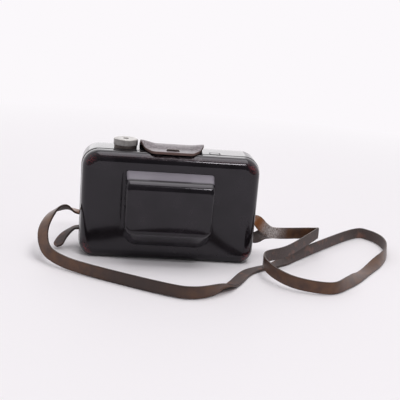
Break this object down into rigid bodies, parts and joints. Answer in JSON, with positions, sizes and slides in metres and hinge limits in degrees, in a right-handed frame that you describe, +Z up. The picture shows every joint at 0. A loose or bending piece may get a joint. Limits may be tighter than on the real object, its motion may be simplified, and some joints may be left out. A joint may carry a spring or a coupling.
{
  "type": "compact film camera",
  "caption": "Compact 35 mm viewfinder camera inside its moulded leather case with a nosed front lid, hinge tab, knurled case screw and long carrying strap.",
  "frame": {"origin": "centre of the flat face that the case stands on, midway between its sides and midway between the front and back of the case body", "axes": "+X along the width to the right as seen from the lens nose, -Y towards the front, +Z up as it stands in the picture"},
  "size_m": [0.2697, 0.1772, 0.0857],
  "materials": {
    "moulded_leather": "polished, wet-moulded",
    "tab_leather": "worn",
    "strap_leather": "worn",
    "turned_aluminium": "satin, knurled",
    "blackened_steel": "blackened",
    "blued_steel": "blued",
    "satin_chrome": "satin",
    "cast_alloy": "black lacquered casting",
    "black_covering": "grained covering",
    "black_lacquer": "gloss lacquer",
    "brass": "turned",
    "spring_steel": "bright",
    "optical_glass": "coated",
    "window_glass": "clear"
  },
  "bodies": {
    "case": {"case_back": "moulded_leather", "tab_base": "tab_leather", "tab_rivets": "blued_steel", "screw_washer": "blackened_steel", "strap": "strap_leather", "camera_body": "cast_alloy", "body_covering": "black_covering", "base_plate": "satin_chrome", "base_screws": "spring_steel", "tripod_socket": "brass", "back_door": "black_covering", "pressure_plate": "black_lacquer", "pressure_spring": "spring_steel", "top_plate": "satin_chrome", "top_screws": "spring_steel", "finder_window": "window_glass", "finder_eyepiece": "window_glass", "accessory_shoe": "satin_chrome", "lens_board": "satin_chrome", "board_screws": "spring_steel", "shutter_housing": "black_lacquer", "lens_barrel": "black_lacquer", "rear_element": "optical_glass", "middle_element": "optical_glass"},
    "lid": {"lid": "moulded_leather", "tab_end": "tab_leather", "lid_staple": "blackened_steel"},
    "screw": {"retaining_screw": "turned_aluminium"},
    "winder": {"wind_knob": "satin_chrome", "take_up_spool": "black_lacquer"},
    "sprocket": {"sprocket_drum": "spring_steel"},
    "counter": {"frame_counter": "satin_chrome"},
    "rewinder": {"rewind_knob": "satin_chrome", "rewind_fork": "spring_steel"},
    "release": {"release_button": "satin_chrome"},
    "speed_ring": {"speed_ring": "satin_chrome"},
    "cocking_lever": {"cocking_lever": "spring_steel"},
    "aperture_ring": {"aperture_ring": "black_lacquer"},
    "focus_ring": {"focus_ring": "black_lacquer"},
    "front_cell": {"front_cell": "satin_chrome", "front_element": "optical_glass"},
    "shutter_a": {"shutter_blade_a": "blued_steel"},
    "shutter_b": {"shutter_blade_b": "blued_steel"},
    "iris_1": {"iris_blade_1": "blued_steel"},
    "iris_2": {"iris_blade_2": "blued_steel"},
    "iris_3": {"iris_blade_3": "blued_steel"},
    "iris_4": {"iris_blade_4": "blued_steel"},
    "iris_5": {"iris_blade_5": "blued_steel"}
  },
  "joints": [
    {"name": "lid_swing", "type": "hinge", "parent": "case", "child": "lid", "pos_m": [0, -0.008, 0.0794], "axis": [-1, 0, 0], "range_deg": [0, 95]},
    {"name": "screw_turn", "type": "hinge", "parent": "case", "child": "screw", "pos_m": [-0.0335, 0.001, 0.08], "axis": [0, 0, 1], "continuous": true},
    {"name": "wind_turn", "type": "hinge", "parent": "case", "child": "winder", "pos_m": [0.0445, 0, 0.02], "axis": [0, 0, 1], "continuous": true},
    {"name": "sprocket_turn", "type": "hinge", "parent": "case", "child": "sprocket", "pos_m": [0.0255, 0.0012, 0.04], "axis": [0, 0, 1], "continuous": true},
    {"name": "counter_turn", "type": "hinge", "parent": "case", "child": "counter", "pos_m": [0.0182, 0.003, 0.01], "axis": [0, 0, 1], "continuous": true},
    {"name": "rewind_turn", "type": "hinge", "parent": "case", "child": "rewinder", "pos_m": [-0.0445, 0, 0.02], "axis": [0, 0, 1], "continuous": true},
    {"name": "release_press", "type": "slide", "parent": "case", "child": "release", "axis": [0, 0, 1], "range_m": [0, 0.0022], "stiffness_N_per_m": 200, "springref_m": -0.001},
    {"name": "speed_turn", "type": "hinge", "parent": "case", "child": "speed_ring", "pos_m": [-0.001, -0.024, 0.041], "axis": [0, -1, 0], "range_deg": [-60, 60]},
    {"name": "cocking_swing", "type": "hinge", "parent": "case", "child": "cocking_lever", "pos_m": [-0.001, -0.024, 0.041], "axis": [0, 1, 0], "range_deg": [0, 50], "stiffness_Nm_per_rad": 0.004, "springref_deg": -11.46},
    {"name": "aperture_turn", "type": "hinge", "parent": "case", "child": "aperture_ring", "pos_m": [-0.001, -0.024, 0.041], "axis": [0, -1, 0], "range_deg": [0, 60]},
    {"name": "focus_turn", "type": "hinge", "parent": "case", "child": "focus_ring", "pos_m": [-0.001, -0.024, 0.041], "axis": [0, -1, 0], "range_deg": [0, 180]},
    {"name": "front_cell_slide", "type": "slide", "parent": "case", "child": "front_cell", "axis": [0, -1, 0], "range_m": [0, 0.0012]},
    {"name": "shutter_a_swing", "type": "hinge", "parent": "case", "child": "shutter_a", "pos_m": [-0.0133, -0.019, 0.041], "axis": [0, 1, 0], "range_deg": [0, 45]},
    {"name": "shutter_b_swing", "type": "hinge", "parent": "case", "child": "shutter_b", "pos_m": [0.0113, -0.019, 0.041], "axis": [0, 1, 0], "range_deg": [0, 45]},
    {"name": "iris_1_swing", "type": "hinge", "parent": "case", "child": "iris_1", "pos_m": [-0.01095, -0.021, 0.03377], "axis": [0, -1, 0], "range_deg": [0, 24]},
    {"name": "iris_2_swing", "type": "hinge", "parent": "case", "child": "iris_2", "pos_m": [0.0028, -0.021, 0.0293], "axis": [0, -1, 0], "range_deg": [0, 24]},
    {"name": "iris_3_swing", "type": "hinge", "parent": "case", "child": "iris_3", "pos_m": [0.0113, -0.021, 0.041], "axis": [0, -1, 0], "range_deg": [0, 24]},
    {"name": "iris_4_swing", "type": "hinge", "parent": "case", "child": "iris_4", "pos_m": [0.0028, -0.021, 0.0527], "axis": [0, -1, 0], "range_deg": [0, 24]},
    {"name": "iris_5_swing", "type": "hinge", "parent": "case", "child": "iris_5", "pos_m": [-0.01095, -0.021, 0.04823], "axis": [0, -1, 0], "range_deg": [0, 24]}
  ],
  "couplings": [
    {"joint": "sprocket_turn", "follows": "wind_turn", "ratio": 1.2},
    {"joint": "counter_turn", "follows": "wind_turn", "ratio": 0.03},
    {"joint": "front_cell_slide", "follows": "focus_turn", "m_per_rad": 0.00038197},
    {"joint": "shutter_a_swing", "follows": "release_press", "rad_per_m": 356.99},
    {"joint": "shutter_b_swing", "follows": "release_press", "rad_per_m": 356.99},
    {"joint": "iris_1_swing", "follows": "aperture_turn", "ratio": 0.4},
    {"joint": "iris_2_swing", "follows": "aperture_turn", "ratio": 0.4},
    {"joint": "iris_3_swing", "follows": "aperture_turn", "ratio": 0.4},
    {"joint": "iris_4_swing", "follows": "aperture_turn", "ratio": 0.4},
    {"joint": "iris_5_swing", "follows": "aperture_turn", "ratio": 0.4}
  ]
}
